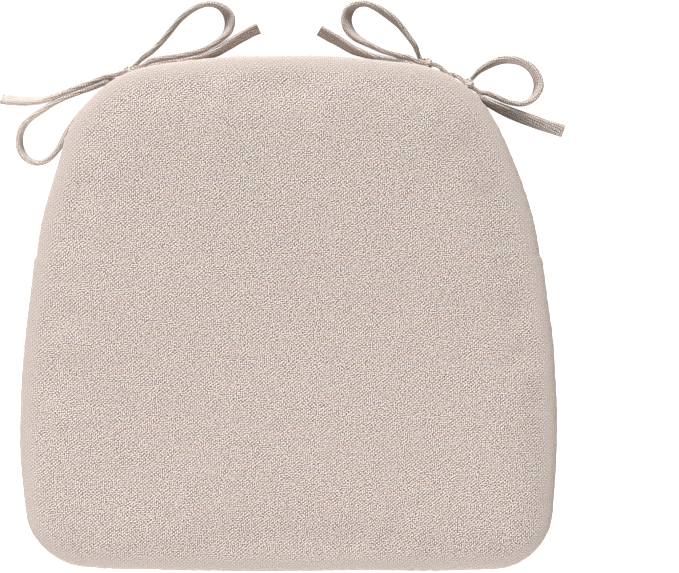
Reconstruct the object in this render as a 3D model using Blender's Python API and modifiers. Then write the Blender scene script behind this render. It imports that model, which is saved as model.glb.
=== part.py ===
"""Boxed D-shaped chair seat cushion with tie straps and a zip along its back edge.

The cushion lies flat as it is used: +Z is up, the bottom cloth is on z = 0, the wide front edge
faces -Y and the narrow back edge, with the zip and the ties, faces +Y. Sizes are in metres.
"""
import math

import bmesh
import bpy
from mathutils import Vector

# Overall size
WIDTH = 0.432
DEPTH = 0.415
THICKNESS = 0.060
WIDEST_FROM_FRONT = 0.112

# Arcs of the outline
FRONT_RADIUS = 4.0
CORNER_RADIUS = 0.047
SIDE_RADIUS = 0.705
SHOULDER_RADIUS = 0.095
BACK_RADIUS = 0.700

# Cover
CLOTH = 0.0012
GAP = 0.0003
TOP_ROLL = 0.009
TOP_SEAM_DROP = 0.0005
BOTTOM_ROLL = 0.010
ALLOWANCE = 0.008
SIDE_SEAM_Y = 0.048

# Filling: the foam clears three layers of cloth where the top seam is folded
WADDING = 0.004
WADDING_CLEARANCE = 0.0013
FOAM_CLEARANCE = 0.0006
FOAM_INSET = 3 * CLOTH + 2 * GAP + FOAM_CLEARANCE

# Zip along the middle of the back band
ZIP_HEIGHT = THICKNESS / 2
ZIP_END_MARGIN = 0.0056
ZIP_OPENING = 0.0054
TAPE_THICKNESS = 0.0006
TAPE_SEAM_CLEARANCE = 0.0012
TAPE_PAST_COIL = 0.004
COIL_HEIGHT = 0.0017
COIL_THICKNESS = 0.0012
COIL_SPLIT = 0.0014
STOP_LENGTH = 0.002
SLIDER_LENGTH = 0.009
SLIDER_HEIGHT = 0.007
SLIDER_PLATE = 0.0012
SLIDER_WEB = 0.0008
BAIL_LENGTH = 0.0068
BAIL_WIDTH = 0.0016
BAIL_HEIGHT = 0.0024
BAIL_BAR = 0.0008
TAB_LENGTH = 0.022
TAB_WIDTH = 0.0062
TAB_THICKNESS = 0.0010
TAB_ARM = 0.0012

# Tie straps: full width standing on edge, or gathered to half where they pass in the knot
STRAP_WIDTH = 0.011
STRAP_THICKNESS = 0.0036
STRAP_STEP = 0.006
STRAP_LEVELS = {
    "full": (GAP + STRAP_WIDTH / 2, STRAP_WIDTH),
    "low": (0.0029, 0.0052),
    "mid": (0.0057, 0.0052),
    "high": (0.0085, 0.0052),
}

# Strap routes seen from above, in millimetres, from the seam through the knot, round the loop,
# back through the knot and out to the tail's end
TIE_LEFT_A = [
    ("low", (-129.5, 193.5), (-128.5, 199.0), (-124.0, 205.0)),
    ("full", (-116.0, 209.0), (-107.0, 216.0), (-98.0, 226.0), (-88.0, 238.0), (-76.0, 247.0),
     (-64.0, 251.0), (-53.0, 248.5), (-46.0, 241.0), (-45.5, 231.5), (-52.0, 223.0),
     (-68.0, 214.5), (-84.0, 209.5), (-100.0, 207.0), (-110.5, 205.0)),
    ("high", (-120.5, 202.0), (-130.5, 198.5), (-140.5, 195.5)),
    ("full", (-149.5, 191.5), (-158.0, 188.0), (-168.0, 184.5), (-180.0, 180.0), (-191.0, 176.0),
     (-201.0, 173.0), (-213.0, 172.0), (-223.0, 172.5), (-234.0, 174.0)),
]
TIE_LEFT_B = [
    ("low", (-135.0, 191.0), (-141.0, 191.0)),
    ("full", (-148.5, 187.0), (-157.0, 182.5), (-168.0, 178.5), (-180.0, 174.0), (-191.0, 169.5),
     (-201.0, 164.0), (-210.0, 158.0), (-216.5, 151.0), (-219.5, 143.0), (-219.5, 135.0),
     (-216.0, 127.5), (-209.0, 122.5), (-200.0, 122.5), (-192.0, 127.0), (-185.0, 134.0),
     (-179.5, 140.5), (-175.0, 147.5), (-169.0, 157.5), (-162.0, 167.5), (-154.0, 176.5),
     (-146.0, 183.5)),
    ("high", (-139.5, 188.0), (-128.5, 194.0), (-119.0, 198.0)),
    ("full", (-109.5, 201.0), (-95.5, 203.5), (-85.5, 205.0), (-74.0, 207.0), (-66.0, 209.0),
     (-58.0, 212.0), (-48.0, 218.0), (-39.0, 223.5), (-31.0, 228.0), (-24.0, 231.0)),
]
TIE_RIGHT_A = [
    ("low", (109.5, 201.0), (109.0, 205.5), (107.0, 211.0)),
    ("full", (102.5, 218.0), (96.5, 226.0), (90.0, 234.0), (82.0, 241.0), (72.0, 247.5),
     (63.0, 251.0), (54.0, 250.0), (48.0, 244.5), (46.5, 237.0), (49.0, 229.5), (55.0, 223.5),
     (65.0, 218.5), (77.0, 213.0), (90.0, 209.0), (97.0, 207.8)),
    ("high", (106.0, 206.0), (115.0, 204.8), (123.0, 202.3), (130.0, 196.3), (136.5, 189.7),
     (144.5, 184.3), (150.0, 180.0)),
    ("full", (157.0, 174.5), (166.0, 169.5), (179.0, 163.5), (192.0, 158.5), (208.0, 153.0),
     (226.0, 147.5)),
]
TIE_RIGHT_B = [
    ("low", (147.5, 182.2), (150.5, 185.5), (154.0, 190.0)),
    ("full", (158.5, 196.0), (166.0, 202.5), (174.0, 206.0), (183.0, 207.0), (192.0, 205.0),
     (200.0, 199.5), (204.5, 192.0), (205.5, 184.0), (202.5, 176.5), (196.5, 171.5),
     (189.0, 170.0), (180.0, 171.5), (171.0, 175.0), (163.5, 178.2)),
    ("high", (157.0, 181.0), (152.5, 184.2), (148.3, 187.4)),
    ("mid", (143.2, 191.2)),
    ("low", (137.5, 194.8), (129.0, 196.4), (123.5, 197.2)),
    ("mid", (118.0, 198.7)),
    ("high", (112.0, 200.3), (104.0, 202.2)),
    ("full", (95.0, 203.8), (87.0, 205.0), (79.0, 206.3), (69.0, 208.0), (61.0, 210.5),
     (53.0, 213.5), (46.0, 217.5), (39.5, 221.5), (32.0, 225.5), (25.0, 229.5)),
]

# Colours
LINEN = (0.67, 0.57, 0.48, 1.0)
LINEN_UNDERSIDE = (0.60, 0.52, 0.44, 1.0)
ZIP_CLOTH = (0.62, 0.53, 0.45, 1.0)
ZIP_NYLON = (0.66, 0.58, 0.50, 1.0)
ZINC = (0.62, 0.60, 0.57, 1.0)
FOAM = (0.86, 0.82, 0.66, 1.0)
WADDING_WHITE = (0.90, 0.90, 0.88, 1.0)

TOP_SEAM_Z = THICKNESS - TOP_ROLL - TOP_SEAM_DROP


# ---- scene ----

def clear_scene():
    for item in list(bpy.data.objects):
        bpy.data.objects.remove(item, do_unlink=True)


def new_collection(name):
    collection = bpy.data.collections.new(name)
    bpy.context.scene.collection.children.link(collection)
    return collection


def new_material(name, colour, roughness=0.85, metallic=0.0):
    material = bpy.data.materials.new(name)
    material.use_nodes = True
    shader = material.node_tree.nodes["Principled BSDF"]
    shader.inputs["Base Color"].default_value = colour
    shader.inputs["Roughness"].default_value = roughness
    shader.inputs["Metallic"].default_value = metallic
    return material


def add_object(name, bm, collection, material, smooth=True):
    mesh = bpy.data.meshes.new(name)
    bm.to_mesh(mesh)
    bm.free()
    if smooth:
        mesh.shade_smooth()
        mesh.set_sharp_from_angle(angle=math.radians(40))
    mesh.materials.append(material)
    item = bpy.data.objects.new(name, mesh)
    collection.objects.link(item)
    return item


def add_solidify(item, thickness):
    shell = item.modifiers.new("cloth", "SOLIDIFY")
    shell.thickness = thickness
    shell.offset = -1.0
    shell.use_even_offset = True


# ---- outline ----

def circles_meet(centre_a, reach_a, centre_b, reach_b):
    """The meeting point, on the +X side, of two circles about two centres."""
    between = centre_b - centre_a
    distance = between.length
    along = (reach_a ** 2 - reach_b ** 2 + distance ** 2) / (2 * distance)
    aside = math.sqrt(max(reach_a ** 2 - along ** 2, 0.0))
    unit = between / distance
    normal = Vector((unit.y, -unit.x))
    points = [centre_a + unit * along + normal * side * aside for side in (1, -1)]
    return max(points, key=lambda point: point.x)


def bearing(centre, point):
    return math.atan2(point.y - centre.y, point.x - centre.x)


SIDE_CENTRE = Vector((WIDTH / 2 - SIDE_RADIUS, -DEPTH / 2 + WIDEST_FROM_FRONT))
BACK_CENTRE = Vector((0.0, DEPTH / 2 - BACK_RADIUS))
FRONT_CENTRE = Vector((0.0, -DEPTH / 2 + FRONT_RADIUS))
SHOULDER_CENTRE = circles_meet(BACK_CENTRE, BACK_RADIUS - SHOULDER_RADIUS,
                               SIDE_CENTRE, SIDE_RADIUS - SHOULDER_RADIUS)
CORNER_CENTRE = circles_meet(FRONT_CENTRE, FRONT_RADIUS - CORNER_RADIUS,
                             SIDE_CENTRE, SIDE_RADIUS - CORNER_RADIUS)
SEAM_BEARING = math.asin((SIDE_SEAM_Y - SIDE_CENTRE.y) / SIDE_RADIUS)
SEAM_HALF_GAP = GAP / 2 / SIDE_RADIUS
BACK_END_BEARING = bearing(BACK_CENTRE, SHOULDER_CENTRE)
ZIP_HALF_LENGTH = (math.pi / 2 - BACK_END_BEARING) * BACK_RADIUS - ZIP_END_MARGIN


def arc(centre, radius, start, end, steps):
    return [(centre, radius, start + (end - start) * step / steps) for step in range(steps + 1)]


def front_half():
    """Arc stations from the middle of the front edge to the right side seam."""
    turn = bearing(FRONT_CENTRE, CORNER_CENTRE)
    side = bearing(SIDE_CENTRE, CORNER_CENTRE)
    stations = arc(FRONT_CENTRE, FRONT_RADIUS, -math.pi / 2, turn, 4)
    stations += arc(CORNER_CENTRE, CORNER_RADIUS, turn, side, 8)[1:]
    stations += arc(SIDE_CENTRE, SIDE_RADIUS, side, SEAM_BEARING - SEAM_HALF_GAP, 6)[1:]
    return stations


def back_half():
    """Arc stations from the right side seam to the middle of the back edge."""
    shoulder = bearing(SIDE_CENTRE, SHOULDER_CENTRE)
    stations = arc(SIDE_CENTRE, SIDE_RADIUS, SEAM_BEARING + SEAM_HALF_GAP, shoulder, 4)
    stations += arc(SHOULDER_CENTRE, SHOULDER_RADIUS, shoulder, BACK_END_BEARING, 12)[1:]
    stations += arc(BACK_CENTRE, BACK_RADIUS, BACK_END_BEARING, math.pi / 2, 6)[1:]
    return stations


def mirrored(stations):
    """The same stations on the left half, in reverse order."""
    return [(Vector((-centre.x, centre.y)), radius, math.pi - angle)
            for centre, radius, angle in reversed(stations)]


def place(station, inset, z):
    centre, radius, angle = station
    reach = radius - inset
    return Vector((centre.x + reach * math.cos(angle), centre.y + reach * math.sin(angle), z))


def closed_outline():
    right = front_half() + back_half()
    return right[:-1] + mirrored(right)[:-1]


FRONT_BAND = mirrored(front_half())[:-1] + front_half()
BACK_BAND = back_half()[:-1] + mirrored(back_half())


# ---- shapes ----

def skin(rings, closed_around, cap_first=False, cap_last=False, closed_profile=False):
    """A surface over rings of points; each ring runs the same way round."""
    bm = bmesh.new()
    verts = [[bm.verts.new(point) for point in ring] for ring in rings]
    count = len(rings[0])
    pairs = list(zip(verts, verts[1:]))
    if closed_profile:
        pairs.append((verts[-1], verts[0]))
    for lower, upper in pairs:
        for i in range(count if closed_around else count - 1):
            j = (i + 1) % count
            bm.faces.new((lower[i], lower[j], upper[j], upper[i]))
    if cap_first:
        bm.faces.new(list(reversed(verts[0])))
    if cap_last:
        bm.faces.new(verts[-1])
    return bm


def stack(stations, profile):
    """One ring of points at each (inset, height) of the profile."""
    return [[place(station, inset, z) for station in stations] for inset, z in profile]


def solid_stack(name, profile, collection, material):
    """A closed solid over the whole outline, its profile listed from the bottom up."""
    bm = skin(stack(closed_outline(), profile), True, cap_first=True, cap_last=True)
    return add_object(name, bm, collection, material)


def roll(inset, z, radius, start, end, steps):
    """Profile points on an edge arc about (inset, z), angles measured from straight out."""
    angles = [start + (end - start) * step / steps for step in range(steps + 1)]
    return [(inset - radius * math.cos(a), z + radius * math.sin(a)) for a in angles]


def along_back(distance, inset, z):
    """A point beside the back edge, a distance to the right of its middle."""
    return place((BACK_CENTRE, BACK_RADIUS, math.pi / 2 - distance / BACK_RADIUS), inset, z)


def back_strip(name, start, end, insets, heights, steps, collection, material):
    """A solid strip of rectangular section that follows the back edge."""
    rings = []
    for step in range(steps + 1):
        distance = start + (end - start) * step / steps
        rings.append([along_back(distance, insets[0], heights[0]),
                      along_back(distance, insets[0], heights[1]),
                      along_back(distance, insets[1], heights[1]),
                      along_back(distance, insets[1], heights[0])])
    bm = skin(rings, True, cap_first=True, cap_last=True)
    bmesh.ops.recalc_face_normals(bm, faces=bm.faces)
    return add_object(name, bm, collection, material, smooth=False)


# ---- cover ----

def make_top_panel(collection, material):
    """Top cloth: flat face, rolled edge, then the seam allowance turned in and down."""
    leaf = 2 * (CLOTH + GAP)
    profile = [(leaf, TOP_SEAM_Z - ALLOWANCE), (leaf, TOP_SEAM_Z), (0.0, TOP_SEAM_Z)]
    profile += roll(TOP_ROLL, THICKNESS - TOP_ROLL, TOP_ROLL, 0.0, math.pi / 2, 6)
    bm = skin(stack(closed_outline(), profile), True, cap_last=True)
    item = add_object("top_panel", bm, collection, material)
    add_solidify(item, CLOTH)


def make_bottom_panel(collection, material):
    inset = BOTTOM_ROLL + GAP
    solid_stack("bottom_panel", [(inset, 0.0), (inset, CLOTH)], collection, material)


def band_foot():
    """Lower part of a side band: allowance over the bottom cloth, then the rolled lower edge."""
    fold = CLOTH + GAP
    profile = [(BOTTOM_ROLL + ALLOWANCE, fold), (BOTTOM_ROLL, fold)]
    return profile + roll(BOTTOM_ROLL, BOTTOM_ROLL, BOTTOM_ROLL, -math.pi / 2, 0.0, 6)


def band_head():
    """Upper part of a side band: the edge turned in under the top cloth, and its allowance."""
    top = TOP_SEAM_Z - GAP
    leaf = 2 * CLOTH + GAP
    return [(0.0, top), (leaf, top), (leaf, top - ALLOWANCE)]


def make_front_boxing(collection, material):
    bm = skin(stack(FRONT_BAND, band_foot() + band_head()), False)
    item = add_object("front_boxing", bm, collection, material)
    add_solidify(item, CLOTH)


def zip_half_opening(station):
    """Half the height between the two back strips: open along the zip, sewn shut past its ends."""
    back_end = place((BACK_CENTRE, BACK_RADIUS, BACK_END_BEARING), 0.0, 0.0)
    on_back = abs(place(station, 0.0, 0.0).x) < back_end.x + GAP
    return ZIP_OPENING / 2 if on_back else GAP / 2


def make_back_boxing(collection, material):
    edge_low = [place(s, 0.0, ZIP_HEIGHT - zip_half_opening(s)) for s in BACK_BAND]
    edge_high = [place(s, 0.0, ZIP_HEIGHT + zip_half_opening(s)) for s in BACK_BAND]
    lower = skin(stack(BACK_BAND, band_foot()) + [edge_low], False)
    add_solidify(add_object("rear_boxing_lower", lower, collection, material), CLOTH)
    upper = skin([edge_high] + stack(BACK_BAND, band_head()), False)
    add_solidify(add_object("rear_boxing_upper", upper, collection, material), CLOTH)


# ---- filling ----

def make_filling(collection, foam, wadding):
    bottom = 2 * (CLOTH + GAP)
    foam_bottom = bottom + WADDING + GAP
    top = THICKNESS - CLOTH - GAP
    foam_top = top - WADDING - 2 * GAP
    room = math.sqrt((BOTTOM_ROLL - CLOTH - GAP) ** 2 - (BOTTOM_ROLL - bottom) ** 2)
    bottom_inset = BOTTOM_ROLL - room + WADDING_CLEARANCE
    solid_stack("wadding_bottom", [(bottom_inset, bottom), (bottom_inset, bottom + WADDING)],
                collection, wadding)
    solid_stack("foam_core", [(FOAM_INSET, foam_bottom), (FOAM_INSET, foam_top)],
                collection, foam)
    solid_stack("wadding_top", [(FOAM_INSET, foam_top + GAP),
                                (FOAM_INSET, top - WADDING / 2),
                                (TOP_ROLL, top)],
                collection, wadding)


# ---- zip ----

def make_zip(collection, cloth, nylon, zinc):
    tape_insets = (CLOTH + GAP, CLOTH + GAP + TAPE_THICKNESS)
    coil_insets = (0.0, COIL_THICKNESS)
    tape_end = ZIP_HALF_LENGTH + TAPE_PAST_COIL
    tape_reach = TOP_SEAM_Z - GAP - ALLOWANCE - TAPE_SEAM_CLEARANCE - ZIP_HEIGHT
    near = COIL_SPLIT / 2
    for half, side in (("upper", 1), ("lower", -1)):
        tape_heights = (ZIP_HEIGHT + side * near, ZIP_HEIGHT + side * tape_reach)
        coil_heights = (ZIP_HEIGHT + side * near, ZIP_HEIGHT + side * (near + COIL_HEIGHT))
        back_strip("zipper_tape_" + half, -tape_end, tape_end, tape_insets,
                   tape_heights, 12, collection, cloth)
        back_strip("zipper_coil_" + half, -ZIP_HALF_LENGTH, ZIP_HALF_LENGTH, coil_insets,
                   coil_heights, 12, collection, nylon)
        back_strip("zipper_top_stop_" + half, ZIP_HALF_LENGTH + GAP,
                   ZIP_HALF_LENGTH + GAP + STOP_LENGTH, coil_insets, coil_heights,
                   1, collection, zinc)
    reach = near + COIL_HEIGHT
    back_strip("zipper_bottom_stop", -ZIP_HALF_LENGTH - GAP - STOP_LENGTH,
               -ZIP_HALF_LENGTH - GAP, coil_insets,
               (ZIP_HEIGHT - reach, ZIP_HEIGHT + reach), 1, collection, zinc)


def prism(outline, depth_axis, half_depth):
    """A flat outline in the plane across depth_axis, given half its depth each way."""
    bm = bmesh.new()
    offset = depth_axis * half_depth
    near = [bm.verts.new(point - offset) for point in outline]
    far = [bm.verts.new(point + offset) for point in outline]
    bm.faces.new(near)
    bm.faces.new(list(reversed(far)))
    for i in range(len(outline)):
        j = (i + 1) % len(outline)
        bm.faces.new((near[i], far[i], far[j], near[j]))
    bmesh.ops.recalc_face_normals(bm, faces=bm.faces)
    return bm


def make_slider(collection, cutters, material, travel_axis):
    """Slider built at the middle of the back: two plates, a web between, and a bail on top."""
    face = BACK_CENTRE.y + BACK_RADIUS - travel_axis.y
    outer = (GAP, GAP + SLIDER_PLATE)
    inner_near = -(CLOTH + 2 * GAP + TAPE_THICKNESS)
    inner = (inner_near - SLIDER_PLATE, inner_near)
    half_height = SLIDER_HEIGHT / 2
    half_web = SLIDER_WEB / 2
    section = [(outer[1], -half_height), (outer[1], half_height), (outer[0], half_height),
               (outer[0], half_web), (inner[1], half_web), (inner[1], half_height),
               (inner[0], half_height), (inner[0], -half_height), (inner[1], -half_height),
               (inner[1], -half_web), (outer[0], -half_web), (outer[0], -half_height)]
    points = [Vector((0.0, face + out, ZIP_HEIGHT + z)) for out, z in section]
    bm = prism(points, Vector((1, 0, 0)), SLIDER_LENGTH / 2)
    slider = add_object("zipper_slider", bm, collection, material, smooth=False)

    half = BAIL_LENGTH / 2
    foot = outer[1] - GAP
    top = outer[1] + BAIL_HEIGHT
    arch = [(-half, foot), (-half, top), (half, top), (half, foot), (half - BAIL_BAR, foot),
            (half - BAIL_BAR, top - BAIL_BAR), (BAIL_BAR - half, top - BAIL_BAR),
            (BAIL_BAR - half, foot)]
    points = [Vector((x, face + out, ZIP_HEIGHT)) for x, out in arch]
    bail = add_object("bail", prism(points, Vector((0, 0, 1)), BAIL_WIDTH / 2), cutters, material)
    bail.hide_render = True
    bail.display_type = "WIRE"
    join = slider.modifiers.new("bail", "BOOLEAN")
    join.operation = "UNION"
    join.object = bail
    return slider, bail


def tab_pivot_out():
    """How far the tab's cross bar stands off the back edge: midway under the bail's bar."""
    return GAP + SLIDER_PLATE + (BAIL_HEIGHT - BAIL_BAR) / 2


def make_pull_tab(collection, material):
    """Pull tab with a window, its cross bar on the local Z axis, reaching towards -X."""
    curve = bpy.data.curves.new("pull_tab_outline", "CURVE")
    curve.dimensions = "2D"
    curve.fill_mode = "BOTH"
    curve.extrude = TAB_THICKNESS / 2
    half_bar = TAB_THICKNESS / 2
    half = TAB_WIDTH / 2
    chamfer = TAB_ARM
    outer = [(half_bar, -half), (half_bar, half), (chamfer - TAB_LENGTH, half),
             (-TAB_LENGTH, half - chamfer), (-TAB_LENGTH, chamfer - half),
             (chamfer - TAB_LENGTH, -half)]
    reach = math.hypot(BAIL_LENGTH / 2, BAIL_HEIGHT / 2) + GAP
    window = [(-half_bar, TAB_ARM - half), (-reach, TAB_ARM - half), (-reach, half - TAB_ARM),
              (-half_bar, half - TAB_ARM)]
    for points in (outer, window):
        spline = curve.splines.new("POLY")
        spline.points.add(len(points) - 1)
        for target, (x, y) in zip(spline.points, points):
            target.co = (x, y, 0.0, 1.0)
        spline.use_cyclic_u = True
    curve.materials.append(material)
    tab = bpy.data.objects.new("zipper_pull_tab", curve)
    collection.objects.link(tab)
    weld = tab.modifiers.new("weld", "WELD")
    weld.merge_threshold = 0.00001
    return tab


def make_slider_group(collection, cutters, material):
    """Slider and tab hang from an empty at the centre of the back edge's arc."""
    centre = Vector((BACK_CENTRE.x, BACK_CENTRE.y, 0.0))
    pivot = bpy.data.objects.new("slider_travel", None)
    collection.objects.link(pivot)
    pivot.location = centre
    closed_at = ZIP_HALF_LENGTH - SLIDER_LENGTH / 2 - GAP
    pivot.rotation_euler = (0.0, 0.0, -closed_at / BACK_RADIUS)
    for item in make_slider(collection, cutters, material, centre):
        item.parent = pivot
    tab = make_pull_tab(collection, material)
    tab.parent = pivot
    tab.location = (0.0, BACK_RADIUS + tab_pivot_out(), ZIP_HEIGHT)
    tab.rotation_euler = (math.pi / 2, 0.0, 0.0)


# ---- tie straps ----

def smooth_route(route):
    """Points every STRAP_STEP or so along a curve through a route's points."""
    knots = []
    for level, *points in route:
        height, width = STRAP_LEVELS[level]
        for x, y in points:
            knots.append(Vector((x / 1000, y / 1000, height, width)))
    knots = [2 * knots[0] - knots[1]] + knots + [2 * knots[-1] - knots[-2]]
    path = []
    for a, b, c, d in zip(knots, knots[1:], knots[2:], knots[3:]):
        steps = max(1, round((c - b).length / STRAP_STEP))
        for step in range(steps):
            t = step / steps
            flat = (2 * b + (c - a) * t + (2 * a - 5 * b + 4 * c - d) * t ** 2
                    + (3 * b - a - 3 * c + d) * t ** 3) / 2
            level = b.lerp(c, t * t * (3 - 2 * t))
            path.append((flat.x, flat.y, level.z, level.w))
    path.append(tuple(knots[-2]))
    return path


def make_strap(name, route, collection, material):
    """A flat strap standing on its edge, with a rectangular section all along its route."""
    path = smooth_route(route)
    rings = []
    for i, (x, y, z, width) in enumerate(path):
        before = path[max(i - 1, 0)]
        after = path[min(i + 1, len(path) - 1)]
        ahead = Vector((after[0] - before[0], after[1] - before[1], 0.0)).normalized()
        side = Vector((-ahead.y, ahead.x, 0.0)) * STRAP_THICKNESS / 2
        up = Vector((0.0, 0.0, width / 2))
        centre = Vector((x, y, z))
        rings.append([centre - side - up, centre + side - up, centre + side + up,
                      centre - side + up])
    bm = skin(rings, True, cap_first=True, cap_last=True)
    bmesh.ops.recalc_face_normals(bm, faces=bm.faces)
    add_object(name, bm, collection, material, smooth=False)


def main():
    clear_scene()
    parts = new_collection("seat_cushion")
    cutters = new_collection("cutters")
    linen = new_material("linen_cover", LINEN, 0.9)
    underside = new_material("underside_cloth", LINEN_UNDERSIDE, 0.9)
    tape = new_material("zip_tape", ZIP_CLOTH, 0.85)
    nylon = new_material("zip_nylon", ZIP_NYLON, 0.45)
    zinc = new_material("zip_metal", ZINC, 0.35, 1.0)
    foam = new_material("foam", FOAM, 0.95)
    wadding = new_material("wadding", WADDING_WHITE, 0.95)

    make_top_panel(parts, linen)
    make_bottom_panel(parts, underside)
    make_front_boxing(parts, linen)
    make_back_boxing(parts, linen)
    make_filling(parts, foam, wadding)
    make_zip(parts, tape, nylon, zinc)
    make_slider_group(parts, cutters, zinc)
    make_strap("tie_left_a", TIE_LEFT_A, parts, linen)
    make_strap("tie_left_b", TIE_LEFT_B, parts, linen)
    make_strap("tie_right_a", TIE_RIGHT_A, parts, linen)
    make_strap("tie_right_b", TIE_RIGHT_B, parts, linen)


main()
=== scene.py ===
"""Looks of the boxed chair cushion: woven cover, zip and four tie straps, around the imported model.

Metres throughout. The cushion lies on z = 0, its wide front faces -Y and its zip faces +Y.
"""
import math

import bpy
import numpy as np
from mathutils import Matrix, Vector, kdtree, noise


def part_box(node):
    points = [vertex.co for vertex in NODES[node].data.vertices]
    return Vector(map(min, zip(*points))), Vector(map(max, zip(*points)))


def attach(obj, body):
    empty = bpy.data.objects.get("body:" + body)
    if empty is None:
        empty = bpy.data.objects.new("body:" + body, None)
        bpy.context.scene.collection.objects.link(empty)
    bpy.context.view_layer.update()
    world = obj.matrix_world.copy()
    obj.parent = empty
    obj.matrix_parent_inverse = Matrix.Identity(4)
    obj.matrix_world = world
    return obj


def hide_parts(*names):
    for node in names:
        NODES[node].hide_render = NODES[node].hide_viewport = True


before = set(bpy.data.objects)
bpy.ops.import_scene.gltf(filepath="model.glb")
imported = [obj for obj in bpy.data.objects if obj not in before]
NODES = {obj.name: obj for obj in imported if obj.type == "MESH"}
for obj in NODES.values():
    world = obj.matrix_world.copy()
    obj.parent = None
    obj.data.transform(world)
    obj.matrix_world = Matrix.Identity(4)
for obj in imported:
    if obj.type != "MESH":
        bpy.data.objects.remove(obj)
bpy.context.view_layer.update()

# ---- sizes shared with the model ----

TOP_LOW, TOP_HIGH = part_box("top_panel")
WIDTH = TOP_HIGH.x - TOP_LOW.x
DEPTH = TOP_HIGH.y - TOP_LOW.y
THICKNESS = TOP_HIGH.z
WIDEST_FROM_FRONT = 0.112
FRONT_RADIUS = 4.0
CORNER_RADIUS = 0.047
SIDE_RADIUS = 0.705
SHOULDER_RADIUS = 0.095
BACK_RADIUS = 0.7
SIDE_SEAM_Y = 0.048
BOTTOM_ROLL = 0.01
SEAM_Z = 0.0505
ZIP_Z = THICKNESS / 2
ZIP_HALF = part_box("zipper_coil_upper")[1].x
TAPE_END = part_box("zipper_tape_upper")[1].x
STRAP_WIDTH = 0.011
STRAP_THICKNESS = 0.0036
SOFT_THICKNESS = 0.0044


def ease(part):
    """A part from 0 to 1 with both its ends softened."""
    return part * part * (3 - 2 * part)


# ---- node materials ----

class Graph:
    """Short calls for building a material's nodes."""

    def __init__(self, name):
        self.material = bpy.data.materials.new(name)
        self.material.use_nodes = True
        self.tree = self.material.node_tree
        self.shader = self.tree.nodes["Principled BSDF"]

    def link(self, source, target):
        """Feed a socket from another one, or set it to a number or a colour."""
        if isinstance(source, (int, float, tuple)):
            target.default_value = source
        else:
            self.tree.links.new(source, target)

    def node(self, kind, *values, **settings):
        """A node whose first sockets take the values, in order."""
        made = self.tree.nodes.new(kind)
        for key, value in settings.items():
            setattr(made, key, value)
        for socket, value in zip(made.inputs, values):
            self.link(value, socket)
        return made

    def shade(self, **values):
        """Feed or set the shader's sockets, named with _ for a space."""
        for key, value in values.items():
            self.link(value, self.shader.inputs[key.replace("_", " ")])

    def weave(self):
        return self.node("ShaderNodeUVMap", uv_map="weave").outputs[0]

    def place(self):
        return self.node("ShaderNodeTexCoord").outputs["Object"]

    def split(self, vector):
        return self.node("ShaderNodeSeparateXYZ", vector).outputs

    def math(self, operation, *values, clamp=False):
        return self.node("ShaderNodeMath", *values, operation=operation,
                         use_clamp=clamp).outputs[0]

    def mapped(self, value, low, high, to_low, to_high):
        return self.node("ShaderNodeMapRange", value, low, high, to_low, to_high).outputs[0]

    def mix(self, factor, a, b):
        made = self.node("ShaderNodeMix", factor, data_type="RGBA")
        self.link(a, made.inputs[6])
        self.link(b, made.inputs[7])
        return made.outputs[2]

    def noise(self, vector, scale, detail=2.0, roughness=0.5, dimensions="3D"):
        made = self.node("ShaderNodeTexNoise", noise_dimensions=dimensions)
        for key, value in (("Vector", vector), ("Scale", scale), ("Detail", detail),
                           ("Roughness", roughness)):
            self.link(value, made.inputs[key])
        return made.outputs["Fac"]

    def bump(self, height, distance, strength):
        made = self.node("ShaderNodeBump")
        for key, value in (("Height", height), ("Distance", distance), ("Strength", strength)):
            self.link(value, made.inputs[key])
        return made.outputs["Normal"]


def grey(level):
    return (level, level, level, 1.0)


def scaled(colour, factor):
    return tuple(min(channel * factor, 1.0) for channel in colour[:3]) + (1.0,)


YARN_WANDER = (0.001, 0.001, 0.0)
ROLLED_CONTRAST = 0.22


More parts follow.
